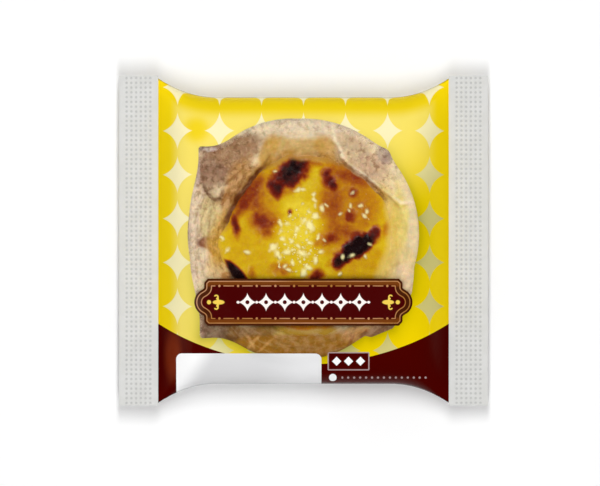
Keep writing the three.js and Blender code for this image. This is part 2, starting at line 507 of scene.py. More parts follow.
# The label's white, painted in light and shade: greyer in its middle, with a painted sheen to the right and
# a painted highlight at the left
LABEL_WHITE = seen(222, 222, 223)
LABEL_SHEEN_RIGHT = seen(238, 238, 239)
LABEL_RISE = (-18.0, 2.0)  # the places along the label between which its painted sheen grows lighter to the right
LABEL_LIT = seen(255, 255, 255)
LABEL_LIGHT = (-40.0, -31.0)  # the places along the label where its light begins to fade and is gone
LABEL_SLANT = 0.6
FRAME_GREY = seen(176, 150, 150)
DOT_WHITE = seen(252, 252, 252)
STAR_PITCH = (15.5, 16.2)
DISC_SHARE = (0.508, 0.525)  # a disc's half sizes, as shares of the pitches
DISC_EDGE = (0.985, 1.01)
FIELD_CENTRE_V = 58.3
FIELD_RADIUS = 104
LABEL_CENTRE, LABEL_HALF, LABEL_CORNER = (-20.2, -56.6), (26.8, 15.0), 2.2
BOX_CENTRE, BOX_HALF, BOX_LINE, BOX_CORNER = (16.6, -44.5), (7.5, 3.2), 0.22, 0.25
BOX_MARKS = (-4.4, 0, 4.4)
MARK_REACH = (1.7, 1.7)
BULLET_CENTRE, BULLET_RADIUS = (10.8, -50.6), (1.4, 1.4)
BEAD_PITCH, BEAD_START, BEAD_END = 2.2, 14.0, 46.0
BEAD_EDGE = (0.5, 0.3)
EDGE = 0.08  # half of the soft width of a printed edge
SHEEN_TINT = (1.0, 0.72, 0.46)
PRINT_SHEEN = 0.05  # on the level film; there is none where it is steep
PRINT_SHADE = (0.56, 0.6, 0.4)  # what the tart's soft shade leaves of the print's colour
SHADE_REACH = 3.6
SHADE_TURN = math.radians(-58)
SIDE_SHADE = (0.66, 0.66, 0.66)  # what the painted shade leaves of the print's colour down the pack's sides
GLOW_TURN = math.radians(134)
GLOW_START, GLOW_FADE = 4.0, 5.0  # how far in from the film's edge the glow starts, and its soft width
SHADE_SPREAD, GLOW_SPREAD = (0.6, 0.9), (0.8, 1.5)  # how far round the tart each goes: mean and swing
GLOW_GAP_CENTRE, GLOW_GAP_RADIUS = (-39.5, 41.0), 5.0  # a place by the tart's corner without the glow
GLOW_GAP_DEPTH = 0.9
# Where the side's shade starts and how soft it is, on the front and the back, as shares of the half width
FRONT_SIDE, BACK_SIDE = (0.991, 0.009), (0.85, 0.1)


def film_bump(s, place):
    """The soft unevenness of all the film."""
    return s.bump(s.noise(place, 0.25, 2), 0.05, 0.5)


def printed_film_material():
    s = Shader("printed_film")
    place = s.attribute("print")
    u, v, _ = s.parts(place)
    shade, glow, facing = s.parts(s.attribute("light"))
    steep, side, _ = s.parts(s.attribute("slope"))

    across, up = s.cell(u / STAR_PITCH[0]), s.cell(v / STAR_PITCH[1] + 0.5)
    radius = s.length(across / DISC_SHARE[0], up / DISC_SHARE[1])
    # The discs' yellow, painted brighter where the film is steep and painted lit in the glow
    disc = s.mix(glow, s.mix(steep, DISC_YELLOW, DISC_STEEP), DISC_LIT)
    # the stars' painted lit colour on the glow's side, and their duller one away from it
    star = s.mix(facing, STAR_CREAM, STAR_LIT)
    colour = s.mix(s.ramp(radius, *DISC_EDGE), disc, star)
    colour = s.tint(shade, colour, PRINT_SHADE)

    from_field = s.length(u, v - FIELD_CENTRE_V) - FIELD_RADIUS
    box = s.rounded_box(u, v, BOX_CENTRE, BOX_HALF, BOX_CORNER)
    dark = s.ramp(from_field, -EDGE, EDGE).larger(s.ramp(box, EDGE, -EDGE))
    lit = s.blob(u, v, MAROON_LIGHT_CENTRE, MAROON_LIGHT_HALF, MAROON_LIGHT_EDGE)
    colour = s.mix(dark, colour, s.mix(lit, MAROON, MAROON_LIT))
    colour = s.mix(s.line(box, BOX_LINE, EDGE), colour, FRAME_GREY)
    marks = s.blob(u, v, BULLET_CENTRE, BULLET_RADIUS)
    for offset in BOX_MARKS:
        marks = marks.larger(s.lozenge(u, v, (BOX_CENTRE[0] + offset, BOX_CENTRE[1]), MARK_REACH))
    colour = s.mix(marks, colour, DOT_WHITE)
    from_bead = s.length(s.cell(u / BEAD_PITCH) * BEAD_PITCH, v - BULLET_CENTRE[1])
    row = s.ramp(u, BEAD_START, BEAD_START + EDGE) * s.ramp(u, BEAD_END, BEAD_END - EDGE)
    colour = s.mix(s.ramp(from_bead, *BEAD_EDGE) * row, colour, FRAME_GREY)

    label = s.rounded_box(u, v, LABEL_CENTRE, LABEL_HALF, LABEL_CORNER)
    slanted = u - (v - (LABEL_CENTRE[1] + LABEL_HALF[1])) * LABEL_SLANT
    # painted sheen to the right, and painted highlight at the left
    white = s.mix(s.ramp(u, *LABEL_RISE), LABEL_WHITE, LABEL_SHEEN_RIGHT)
    white = s.mix(s.ramp(slanted, LABEL_LIGHT[1], LABEL_LIGHT[0]), white, LABEL_LIT)
    colour = s.mix(s.ramp(label, EDGE, -EDGE), colour, white)
    return s.surface(
        Base_Color=s.tint(side, colour, SIDE_SHADE),
        Roughness=0.22 + s.noise(place, 6.0, 2) * 0.06,
        Normal=film_bump(s, place),
        Specular_IOR_Level=PRINT_SHEEN - steep * PRINT_SHEEN,
        Specular_Tint=SHEEN_TINT,
    )


CLEAR_TINT = (0.99, 0.99, 0.98)
CLEAR_IOR = 1.24  # thin film mirrors less than a thick sheet
CLEAR_ROUGHNESS = 0.1


def clear_film_material():
    s = Shader("clear_film")
    normal = film_bump(s, s.attribute("print"))
    gloss = s.value("BsdfGlossy", {"Color": (1, 1, 1), "Roughness": CLEAR_ROUGHNESS, "Normal": normal})
    clear = s.value("BsdfTransparent", {"Color": CLEAR_TINT})
    fresnel = s.value("Fresnel", {"IOR": CLEAR_IOR, "Normal": normal})
    return s.finish(s.value("MixShader", {0: fresnel, 1: clear, 2: gloss}))


SEAL_PALE = seen(219, 219, 217)
SEAL_PLAIN = seen(214, 214, 211)
SEAL_DOT = seen(192, 192, 190)
SEAL_DOT_EDGE = (0.34, 0.18)


def seal_material():
    s = Shader("seal_film")
    x, y, _ = s.parts(s.attribute("seal"))
    place = s.attribute("print")
    inside = s.ramp(x, 0.0, 0.02) * s.ramp(x, CRIMP_COLUMNS, CRIMP_COLUMNS - 0.02)
    dot = s.ramp(s.length(s.cell(x), s.cell(y)), *SEAL_DOT_EDGE) * inside
    plain = s.mix(s.ramp(s.noise(place, 0.2, 3), 0.3, 0.7), SEAL_PLAIN, SEAL_PALE)
    return s.surface(
        Base_Color=s.mix(dot, plain, SEAL_DOT),
        Roughness=0.42 + s.noise(place, 5.0, 2) * 0.1,
        Specular_IOR_Level=0.4,
    )


WINDOW_SHADE = (0.42, 0.36, 0.3)  # what the plaque's painted shadow leaves of a colour
PASTRY_LIGHT = seen_inside(240, 228, 200)
PALE_RISE = (1.34, 1.3, 1.2)
STREAK_SHARE = (0.62, 0.53, 0.44)
FLECK_SHARE = (0.52, 0.4, 0.3)
HUE_SWING = 0.4  # how far the pastry wanders between pinkish and greenish


def pastry_material():
    s = Shader("pastry")
    place = s.attribute("place")
    mottled, streaked, _ = s.parts(s.attribute("texture"))
    hues = s.vector("MULTIPLY", s.noise(place, 0.75, 3, 0.6, "Color"), (HUE_SWING,) * 3)
    hues = s.vector("ADD", hues, (1 - HUE_SWING / 2,) * 3)
    tone = s.tint(1.0, s.attribute("tone", "Color"), hues)
    pale = s.mix(0.18, s.tint(1.0, tone, PALE_RISE), PASTRY_LIGHT)
    patches = s.noise(place, 0.3, 4, 0.6)
    flecks = s.noise(place, 0.5, 4, 0.62)
    specks = s.noise(s.vector("MULTIPLY", place, (1.0, 0.85, 1.0)), 0.75, 4, 0.6)
    streaks = s.noise(s.attribute("grain"), 0.65, 4, 0.6)
    colour = s.mix(s.ramp(patches, 0.42, 0.7) * 0.6, tone, pale)
    colour = s.mix(s.ramp(streaks, 0.5, 0.64) * streaked * 0.75, colour, s.tint(1.0, tone, STREAK_SHARE))
    colour = s.mix(s.ramp(streaks, 0.47, 0.34) * streaked * 0.8, colour, pale)
    colour = s.mix(s.ramp(specks, 0.5, 0.68) * mottled * 0.8, colour, pale)
    colour = s.mix(s.ramp(flecks, 0.48, 0.68) * mottled * 0.8, colour, s.tint(1.0, tone, FLECK_SHARE))
    return s.surface(
        Base_Color=s.tint(s.attribute("shade", "Fac"), colour, WINDOW_SHADE),
        Roughness=0.5 + flecks * 0.25,
        Normal=s.bump(flecks * mottled - streaks * streaked * 0.9, 0.4, 0.8),
        Specular_IOR_Level=0.3,
    )


CUSTARD_STOPS = (
    (0.0, seen_inside(238, 214, 56)),
    (0.13, seen_inside(222, 190, 22)),
    (0.27, seen_inside(212, 166, 12)),
    (0.41, seen_inside(198, 136, 16)),
    (0.55, seen_inside(174, 96, 20)),
    (0.68, seen_inside(140, 50, 18)),
    (0.82, seen_inside(100, 24, 16)),
    (0.93, seen_inside(62, 28, 26)),
    (1.0, seen_inside(28, 12, 14)),
)
# The foam's pale, which also paints the glints on the custard's bubbles and specks
FOAM_GLINT_PALE = seen_inside(255, 248, 186)
FOAM_SIZES = ((0.5, 1.12), (1.0, 1.1))  # cells a millimetre, and the level from which a bubble shows
FOAM_STIR = (1.6, 1.6, 1.6)
BURN_SWING = 0.26  # how far the noise moves the custard's browning


def custard_material():
    s = Shader("custard")
    place = s.attribute("place")
    burn, foam, bubble = s.parts(s.attribute("surface"))
    rim, shade, _ = s.parts(s.attribute("edges"))
    fine = s.noise(place, 0.6, 3, 0.6)
    shift = (s.noise(place, 0.2, 4, 0.6) - 0.5 + (fine - 0.5)) * BURN_SWING
    browning = s.node("ValToRGB", {0: burn + shift})
    elements = browning.color_ramp.elements  # a new one has its stops at 0 and 1
    for position, _ in CUSTARD_STOPS[1:-1]:
        elements.new(position)
    for element, (_, tone) in zip(elements, CUSTARD_STOPS):
        element.color = (*tone, 1)
    colour = s.mix(rim, Value(s, browning.outputs[0]), s.attribute("tone", "Color"))
    stir = s.vector("MULTIPLY", s.noise(place, 0.7, 2, 0.5, "Color"), FOAM_STIR)
    stirred = s.vector("ADD", place, stir)
    specks = bubble
    for scale, share in FOAM_SIZES:
        inputs = {"Vector": stirred, "Scale": scale}
        chances, distance = s.values("TexVoronoi", inputs, ("Color", "Distance"))
        shown = s.ramp(s.parts(chances)[0] + foam, share, share + 0.15)
        specks = specks.larger(s.ramp(distance, 0.42, 0.16) * shown)
    # foam and bubbles painted pale: partly the custard's foam, partly painted glints
    colour = s.mix(specks * 0.9, colour, FOAM_GLINT_PALE)
    return s.surface(
        Base_Color=s.tint(shade, colour, WINDOW_SHADE),
        Roughness=0.16 + fine * 0.2,
        Normal=s.bump(fine * 0.9 + specks * 0.7, 0.5, 0.8),
        Specular_IOR_Level=0.3,
        Coat_Weight=0.3,
        Coat_Roughness=0.07,
    )


# The film


def window_distance(x, y, v):
    """Signed distance to the clear window: the tart's outline, less what is printed over it."""
    label = rounded_box_distance(x, v, LABEL_CENTRE, LABEL_HALF, LABEL_CORNER)
    box_half = (BOX_HALF[0] + BOX_LINE, BOX_HALF[1] + BOX_LINE)
    box = rounded_box_distance(x, v, BOX_CENTRE, box_half, BOX_CORNER)
    return np.maximum(tart_distance(x, y), -np.minimum(label, box))


def print_light(x, y):
    """The light painted on the print: the tart's and the plaque's soft shade, the glow beside the tart, and
    the glow's side.
    """
    side = np.arctan2(y - TART_CIRCLES[0][1], x - TART_CIRCLES[0][0])
    shaded = smoothstep(SHADE_SPREAD[0] + SHADE_SPREAD[1] * np.cos(side - SHADE_TURN))
    shade = shaded * np.exp(-np.maximum(tart_distance(x, y), 0) / SHADE_REACH)
    facing = smoothstep(GLOW_SPREAD[0] + GLOW_SPREAD[1] * np.cos(side - GLOW_TURN))
    inward = np.minimum(BODY_HALF - np.abs(x), half_width(x) - np.abs(y))
    glow = facing * smoothstep((inward - GLOW_START) / GLOW_FADE)
    from_gap = np.hypot(x - GLOW_GAP_CENTRE[0], y - GLOW_GAP_CENTRE[1]) / GLOW_GAP_RADIUS
    glow = glow * (1 - GLOW_GAP_DEPTH * np.exp(-(from_gap**4)))
    return triples(np.maximum(shade, plaque_shade(x, y, PRINT_PLAQUE_SHADOW)), glow, facing)


def print_slope(x, y, front):
    """How steep the film is beside the seals, and how much painted shade lies down the pack's sides, each
    from 0 to 1.
    """
    steep = smoothstep(1 - (BODY_HALF - np.abs(x)) / STEEP_WIDTH)
    across = np.abs(y) / half_width(x)
    start, soft = (np.where(front, *pair) for pair in zip(FRONT_SIDE, BACK_SIDE))
    return triples(steep * front, smoothstep((across - start) / soft), 0)


def even_loop(x, side):
    """The points of half a loop, evenly apart: y, z, the print's v, and whether each is on the front."""
    y, z, v = half_loop(x, side)
    run = np.concatenate([[0], np.cumsum(np.hypot(np.diff(y), np.diff(z)))])
    even = np.linspace(0, run[-1], LOOP_STEPS + 1)
    return *(np.interp(even, run, line) for line in (y, z, v)), even <= run[len(y) // 2]


def make_film():
    stations = np.linspace(-BODY_HALF, BODY_HALF, round(2 * BODY_HALF / FILM_STEP) + 1)
    points, prints, windows, lights, slopes = [], [], [], [], []
    for x in stations:
        low, high = even_loop(x, -1), even_loop(x, 1)
        y, z, v, front = (np.concatenate([a[::-1], b[1:]]) for a, b in zip(low, high))
        points.append(triples(x, y, z))
        prints.append(triples(x, v, z))
        windows.append(np.where(front, window_distance(x, y, v), 10.0))
        lights.append(print_light(x, y) * front[:, None])
        slopes.append(print_slope(x, y, front))
    attributes = {"print": prints, "window": windows, "light": lights, "slope": slopes}
    whole = make_mesh("film", points, grid_faces(*np.shape(windows))[:, ::-1], attributes)
    printed = cut_mesh(whole, "window", 1)
    clear = cut_mesh(whole, "window", -1)
    add_piece("printed_film", printed, printed_film_material())
    add_piece("window_film", clear, clear_film_material())
    bpy.data.meshes.remove(whole)


def crimp_dots(across, along):
    """1 at the middle of each crimped dot and 0 between them; both are counted in dots."""
    from_dot = np.hypot(across % 1 - 0.5, along % 1 - 0.5)
    inside = (across > 0) & (across < CRIMP_COLUMNS)
    return smoothstep((0.42 - from_dot) / 0.3) * inside


def thin_slab(x, y, upper, lower):
    """Points and outward faces of a thin closed sheet over a grid, with the upper points first."""
    rows, columns = x.shape
    count = rows * columns
    points = np.stack([triples(x, y, z) for z in (upper, lower)]).reshape(-1, 3)
    faces = grid_faces(rows, columns)
    ring = np.concatenate([
        np.arange(columns),
        np.arange(1, rows) * columns + columns - 1,
        (rows - 1) * columns + np.arange(columns - 2, -1, -1),
        np.arange(rows - 2, 0, -1) * columns,
    ])
    after = np.roll(ring, -1)
    rim = np.stack([after, ring, ring + count, after + count], -1)
    faces = np.concatenate([faces, faces[:, ::-1] + count, rim])
    return points, faces[:, ::-1] if x[-1, 0] > x[0, 0] else faces


def make_seal(side, name, material):
    inner, outer = BODY_HALF, PACK_LENGTH / 2
    xs = np.linspace(inner, outer, round(SEAL_WIDTH / SEAL_STEP) + 1)
    ys = np.linspace(-FLAT_WIDTH / 2, FLAT_WIDTH / 2, round(FLAT_WIDTH / SEAL_STEP) + 1)
    x, y = np.meshgrid(side * xs, ys, indexing="ij")
    across = (outer - CRIMP_EDGE - np.abs(x)) / CRIMP_PITCH
    along = (y / FLAT_WIDTH + 0.5) * CRIMP_ROWS
    pressed = CRIMP_DEPTH * crimp_dots(across, along)
    middle = mid_level(x, y)
    points, faces = thin_slab(x, y, middle + SEAL_THICKNESS / 2 - pressed, middle - SEAL_THICKNESS / 2)
    dots = triples(across, along, 0)
    mesh = make_mesh(name, points, faces, {"seal": [dots, dots], "print": points})
    mesh.set_sharp_from_angle(angle=math.radians(50))
    add_piece(name, mesh, material)


def make_fin(material):
    """The fin seal, a ribbon laid over along the back."""
    xs = np.linspace(-BODY_HALF, BODY_HALF, FIN_STEPS[0] + 1)
    ys = np.linspace(FIN_LOW, FIN_LOW + FIN_WIDTH, FIN_STEPS[1] + 1)
    x, y = np.meshgrid(xs, ys, indexing="ij")
    top = film_back(x, y)
    low = np.maximum(top - FIN_THICKNESS, FIN_MARGIN)
    low[0], low[-1] = top[0] - FIN_MARGIN, top[-1] - FIN_MARGIN
    points, faces = thin_slab(x, y, top - FIN_MARGIN / 2, low)
    prints = triples(points[:, 0], FIN_PRINT_V, points[:, 2])
    mesh = make_mesh("fin_seal", points, faces, {"print": prints, "light": 0 * prints, "slope": 0 * prints})
    add_piece("fin_seal", mesh, material)


# The plaque printed across the front

PLAQUE_CENTRE = (-0.05, -22.7)
PLAQUE_HALF_HEIGHT = 8.65
PLAQUE_STRAIGHT = 35.1
PLAQUE_BULGE = 5.1  # the round middle of each end, about the end of the straight part
PLAQUE_SHOULDER = 1.4
PLAQUE_CHAMFER = 1.35
PLAQUE_END_STEPS = 48
PLAQUE_ROWS = 71
PLAQUE_LIFT = 0.034
PLAQUE_SHADE = 0.9  # how far the plaque's painted shadow reaches
PRINT_PLAQUE_SHADOW, WINDOW_PLAQUE_SHADOW = 0.55, 0.8  # how strong that painted shadow is on the print, and on what lies under the window
PLAQUE_MAROON = seen(70, 0, 0)
PLAQUE_EDGE = seen(70, 28, 4)
PLAQUE_BAND = seen(116, 58, 12)
GOLD = seen(172, 114, 46)
GOLD_PALE = seen(200, 144, 104)
FLEURON_GOLD = seen(240, 206, 84)
ORNAMENT_CREAM = seen(255, 244, 238)
BAND_FADE = (5.2, 6.4)  # the places above and below the plaque's middle between which the band turns brown
EDGE_FADE, MAROON_FADE = (-0.7, -1.0), (-1.9, -2.7)  # the places inside the outline where the band lies
LINE_EDGE = 0.1
LINE_INSET, LINE_HALF = 0.95, 0.17
DASH_INSET, DASH_HALF = 2.65, 0.17
DASH_PITCH, DASH_LENGTH, DASH_END = 6.87, 3.9, 32.4
DOT_EDGE = (0.52, 0.34)
# The leaves of the ornament at each end: place along the plaque, half sizes and softness
FLEURON_LEAVES = ((31.2, (2.15, 0.85), 0.12), (31.5, (0.45, 2.3), 0.12), (34.75, (0.78, 0.78), 0.15))
CURL_CENTRE, CURL_RADIUS, CURL_HALF = (32.05, 1.95), 0.6, 0.26
MOTIF_REACH, MOTIF_CURVE, MOTIF_HOLLOW, MOTIF_END = 3.35, 0.66, 0.8, 24.0
MOTIF_BEAD_EDGE = (0.6, 0.42)


def plaque_outline():
    height = np.linspace(0, PLAQUE_HALF_HEIGHT, PLAQUE_END_STEPS)
    bulge = np.sqrt(np.maximum(PLAQUE_BULGE**2 - height**2, 0))
    chamfer = np.minimum((PLAQUE_HALF_HEIGHT - height) / PLAQUE_CHAMFER, 1)
    out = np.maximum(bulge, PLAQUE_SHOULDER * chamfer)
    soft = np.convolve(np.pad(out, 2, mode="reflect", reflect_type="even"), np.ones(5) / 5, "valid")
    quarter = np.stack([PLAQUE_STRAIGHT + soft, height], -1)
    turns = ((1, 1), (-1, 1), (-1, -1), (1, -1))
    return np.concatenate([quarter[:: sx * sy] * (sx, sy) for sx, sy in turns])


def plaque_shade(x, y, strength):
    """The plaque's soft shadow, painted round it."""
    distance = polygon_distance(x - PLAQUE_CENTRE[0], y - PLAQUE_CENTRE[1], plaque_outline())
    return strength * np.exp(-np.maximum(distance, 0) / PLAQUE_SHADE)


def plaque_material():
    s = Shader("plaque_print")
    place = s.attribute("plaque")
    u, v, distance = s.parts(place)
    along, high = abs(u), abs(v)
    gold = s.mix(s.ramp(s.noise(place, 0.06, 2), 0.3, 0.7), GOLD, GOLD_PALE)

    band = s.mix(s.ramp(high, *BAND_FADE), PLAQUE_EDGE, PLAQUE_BAND)
    band = s.mix(s.ramp(distance, *MAROON_FADE), band, PLAQUE_MAROON)
    colour = s.mix(s.ramp(distance, *EDGE_FADE), PLAQUE_EDGE, band)
    colour = s.mix(s.line(distance + LINE_INSET, LINE_HALF, LINE_EDGE), colour, gold)

    from_line = distance + DASH_INSET
    from_middle = abs(s.cell(along / DASH_PITCH + 0.5) * DASH_PITCH)
    from_end = DASH_PITCH / 2 - from_middle
    ended = s.ramp(along, DASH_END, DASH_END + 0.2)
    dash = s.line(from_middle, DASH_LENGTH / 2, LINE_EDGE).larger(ended)
    colour = s.mix(s.line(from_line, DASH_HALF, LINE_EDGE) * dash, colour, gold)
    dot = s.ramp(s.length(from_end, from_line), *DOT_EDGE)
    colour = s.mix(dot * (1.0 - ended), colour, gold)

    from_curl = s.length(along - CURL_CENTRE[0], high - CURL_CENTRE[1]) - CURL_RADIUS
    opening = s.ramp(along, CURL_CENTRE[0], CURL_CENTRE[0] + 0.15) * s.ramp(high, 2.2, 2.05)
    fleuron = s.line(from_curl, CURL_HALF, LINE_EDGE) * (1.0 - opening)
    for leaf_at, reach, edge in FLEURON_LEAVES:
        fleuron = fleuron.larger(s.blob(along, v, (leaf_at, 0), reach, edge))
    colour = s.mix(fleuron, colour, FLEURON_GOLD)

    arms = (from_middle / MOTIF_REACH) ** MOTIF_CURVE + (high / MOTIF_REACH) ** MOTIF_CURVE
    hollow = s.ramp(s.length(from_middle, high), MOTIF_HOLLOW, MOTIF_HOLLOW - 0.12)
    beads = s.ramp(s.length(from_end, high), *MOTIF_BEAD_EDGE)
    row = (s.ramp(arms, 1.06, 0.98) * (1.0 - hollow)).larger(beads)
    row = row * s.ramp(along, MOTIF_END + 0.7, MOTIF_END + 0.6)
    return s.surface(
        Base_Color=s.mix(row, colour, ORNAMENT_CREAM),
        Roughness=0.28 + s.noise(place, 4.0, 2) * 0.06,
        Specular_IOR_Level=0.12,
    )


def make_plaque():
    reach = PLAQUE_STRAIGHT + PLAQUE_BULGE + 0.5
    us = np.linspace(-reach, reach, round(2 * reach / PLAQUE_STEP) + 1)
    high = PLAQUE_HALF_HEIGHT + 0.4
    vs = np.linspace(-high, high, PLAQUE_ROWS)
    u, v = np.meshgrid(us, vs, indexing="ij")
    distance = polygon_distance(u, v, plaque_outline())
    x, y = u + PLAQUE_CENTRE[0], v + PLAQUE_CENTRE[1]
    points = triples(x, y, film_front(x, y) + PLAQUE_LIFT)
    attributes = {"plaque": triples(u, v, distance), "edge": distance}
    whole = make_mesh("plaque", points, grid_faces(*x.shape)[:, ::-1], attributes)
    add_piece("plaque_print", cut_mesh(whole, "edge", -1), plaque_material())
    bpy.data.meshes.remove(whole)


# The tart

# Strokes of colour on the pastry: centre, half sizes along and across, turn in degrees, colour, strength
PASTRY_BASE = (226, 206, 170)
PASTRY_STROKES = (
    ((-39.4, 5.7), (5, 19), 0, (213, 191, 166), 0.85),
    ((-34.5, 8.5), (3.6, 9), 0, (204, 184, 128), 0.8),
    ((-1.3, 42.0), (24, 5), 0, (222, 204, 176), 0.85),
    ((-15.4, 38.0), (9, 4.5), 20, (216, 198, 166), 0.85),
    ((-1.3, 34.8), (13, 3.4), 0, (196, 158, 80), 0.8),
    ((-13.6, 31.4), (3.4, 7), -18, (200, 156, 66), 0.85),
    ((8.0, 34.6), (5, 4.0), -35, (196, 150, 66), 0.8),
    ((-33.4, 27.0), (8.0, 9.6), 0, (152, 116, 90), 1.0),
    ((-24.0, 33.0), (9, 5.5), 15, (156, 116, 80), 0.95),
    ((-23.6, 22.6), (4.6, 10), -32, (176, 128, 68), 0.95),
    ((-27.4, 13.4), (2.4, 7), -12, (172, 122, 66), 0.85),
    ((-18.0, 36.0), (1.2, 3.2), -8, (134, 92, 56), 0.35),
    ((-38.4, 34.4), (1.6, 1.6), 0, (104, 74, 60), 0.85),
    # a thin painted highlight under the pastry's top left edge
    ((-34.6, 33.6), (2.6, 0.7), 0, (206, 190, 184), 0.7),
    ((-38.9, 26.0), (0.9, 7.0), 0, (188, 162, 148), 0.7),
    ((-36.3, 19.2), (0.8, 2.0), 20, (116, 80, 54), 0.8),
    ((-34.6, 16.6), (1.8, 0.7), -45, (112, 78, 50), 0.8),
    ((-32.2, 15.2), (1.6, 0.7), 5, (112, 76, 48), 0.8),
    ((-30.2, 17.2), (0.8, 2.2), -20, (122, 84, 50), 0.75),
    ((-30.0, -10.4), (5, 5.5), 0, (218, 184, 126), 0.75),
    ((-27.8, -13.2), (2.6, 1.5), 0, (190, 128, 52), 0.8),
    ((-30.4, -1.0), (2.2, 6), 0, (222, 184, 92), 0.75),
    ((-36.0, -0.8), (2.7, 2.0), 10, (136, 80, 50), 0.95),
    ((-32.8, -4.2), (2.4, 1.1), -40, (170, 110, 54), 0.85),
    ((15.4, 39.0), (9, 4), -25, (216, 196, 168), 0.7),
    ((19.6, 31.4), (9, 6), -40, (200, 174, 140), 0.9),
    ((26.5, 25.6), (7, 6), -50, (194, 164, 134), 0.9),
    ((29.4, 31.6), (3.0, 4), 20, (170, 144, 130), 0.9),
    ((35.0, 17.0), (6, 9), 22, (220, 200, 158), 0.85),
    ((39.0, 3.9), (4.6, 15), 0, (223, 204, 164), 0.85),
    ((35.2, 6.0), (3.0, 12), 0, (226, 208, 114), 0.85),
    ((34.0, -9.5), (7, 8), 0, (220, 198, 138), 0.8),
    ((37.5, -14.5), (3, 6), 0, (222, 196, 164), 0.75),
    ((0.0, -39.5), (38, 8.5), 0, (154, 106, 24), 1.0),
    ((-37.0, -32.0), (2.6, 6), 0, (146, 112, 92), 0.9),
    ((-28.6, -34.0), (6, 3.4), -4, (112, 74, 34), 0.9),
    ((-20.5, -35.5), (5.0, 0.6), -58, (214, 166, 100), 0.75),
    ((-17.6, -36.5), (4.6, 0.6), 50, (206, 156, 88), 0.75),
    ((-14.4, -39.0), (4.0, 0.6), 42, (198, 148, 80), 0.7),
    ((-18.8, -33.4), (2.0, 0.9), 0, (116, 72, 22), 0.7),
    ((19.0, -34.0), (6, 3.0), 15, (188, 140, 82), 0.8),
    ((17.4, -37.0), (2.6, 0.6), 60, (140, 82, 36), 0.7),
    ((22.0, -35.0), (2.6, 0.6), 60, (140, 82, 36), 0.7),
    ((26.5, -33.6), (6, 1.4), 16, (122, 78, 40), 0.75),
    ((6.0, -41.0), (12, 2.6), 0, (148, 100, 26), 0.7),
    ((-1.0, -33.2), (14, 1.8), 0, (184, 154, 58), 0.7),
    ((-20.0, -33.2), (9, 2.2), 0, (134, 94, 44), 0.85),
    ((-33.4, -33.5), (4.6, 4.4), 0, (124, 94, 70), 0.85),
    ((29.8, -33.0), (5, 3), 15, (142, 104, 74), 0.8),
)
# The pastry along the custard's edge: direction and half spread in degrees, width on the pastry,
# colour, strength, and how far in the custard takes on the colour
RIM_TONES = (
    (176, 18, 5.0, (206, 160, 58), 0.9, 2.8),
    (2, 38, 5.0, (226, 196, 88), 0.8, 3.0),
    (97, 34, 3.4, (184, 134, 42), 0.9, 2.2),
    (52, 22, 0.9, (158, 100, 32), 0.7, 0.4),
    (143, 24, 1.0, (112, 56, 20), 0.95, 0.5),
)
SPREAD_FADE = 12
# Where the pastry is smooth: centre, half sizes, turn, and how much mottling goes
SMOOTH_ZONES = (
    ((37.0, 4.0), (7, 20), 0, 0.85),
    ((33.0, -10.0), (8, 10), 0, 0.75),
    ((-1.3, 35.5), (15, 4.0), 0, 0.75),
    ((-12.9, 30.0), (3.6, 9), -18, 0.7),
    ((0.0, 41.0), (26, 4), 0, 0.3),
    ((0.0, -38.0), (36, 8), 0, 0.7),
    ((-21.5, 18.0), (12, 2), 53, 0.8),
    ((-37.0, -2.0), (8, 16), 0, 0.35),
)
# Where it shows the layers of its dough as streaks: centre, half sizes, turn, and strength
STREAKY_ZONES = (
    ((-37.0, 1.0), (9, 20), 0, 0.9),
    ((-25.4, 19.6), (4.6, 13), -32, 1.0),
    ((-2.0, 36.0), (17, 5), 0, 0.3),
    ((-16.0, -37.0), (16, 7), 0, 0.6),
    ((18.0, -36.0), (16, 7), 20, 0.6),
    ((37.0, -6.0), (5, 14), 0, 0.25),
)
# The pastry's folded corners: softness of the edge, and outline
FLAPS = (
    (1.3, (
        (-44, 21), (-36.8, 20.9), (-35.9, 17.9), (-34.2, 16.1), (-32.4, 15), (-30.5, 15.7),
        (-29.4, 18.3), (-30.2, 13), (-30.8, 7.6), (-28, 6.6), (-15, 26), (-13, 31), (-14, 37),
        (-22, 43), (-44, 40),
    )),
    (0.8, (
        (8, 50), (10.5, 36.6), (12.3, 34.2), (13.4, 30.6), (15.4, 27.7), (18.5, 25.3), (22.2, 22.7),
        (25.3, 20.2), (28.7, 17.4), (32.1, 15.6), (35.5, 12.7), (50, 14), (48, 48),
    )),
    (0.8, ((-50, -14), (-34, -6), (-27, -10), (-24, -16), (-22, -30), (-30, -48), (-50, -40))),
    (0.9, ((14, -50), (18, -34), (26, -19), (33, -9), (50, -4), (50, -50))),
)
FOLD_LIGHT, FOLD_HALF = (238, 224, 196), 1.1  # the light along the upper right corner's fold
GAP_BROWN = (52, 20, 14)
